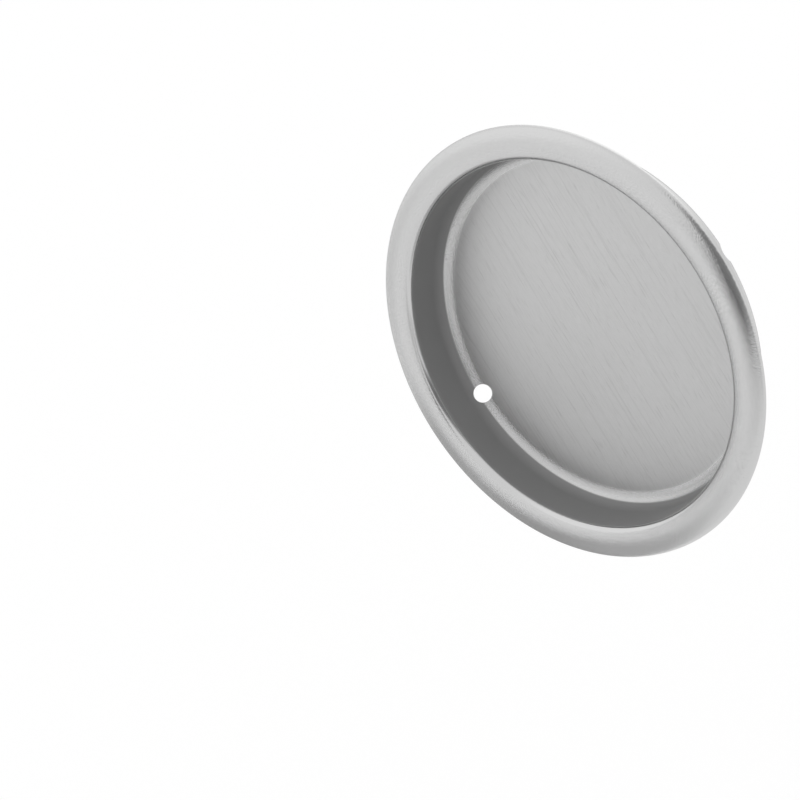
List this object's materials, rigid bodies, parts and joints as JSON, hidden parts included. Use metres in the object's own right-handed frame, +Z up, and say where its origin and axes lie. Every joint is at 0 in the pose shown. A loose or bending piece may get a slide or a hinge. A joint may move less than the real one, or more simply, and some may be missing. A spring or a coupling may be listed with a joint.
{
  "type": "round cup door pull",
  "caption": "Round flush pull for a sliding door: a shallow drawn cup with a domed, rolled rim and slanted nail holes in its corner, in brushed satin nickel.",
  "frame": {"origin": "centre of the rim's seat, in the plane of the door face", "axes": "+Z up, +Y into the door along the axis of the cup, and the open front of the cup faces -Y"},
  "size_m": [0.054, 0.0076, 0.054],
  "materials": {
    "satin_nickel": "steel sheet plated in nickel, with a fine straight brushing and a satin sheen, and the wall of the cup left smooth and darker"
  },
  "bodies": {
    "root": {"pull_cup": "satin_nickel"}
  },
  "joints": []
}
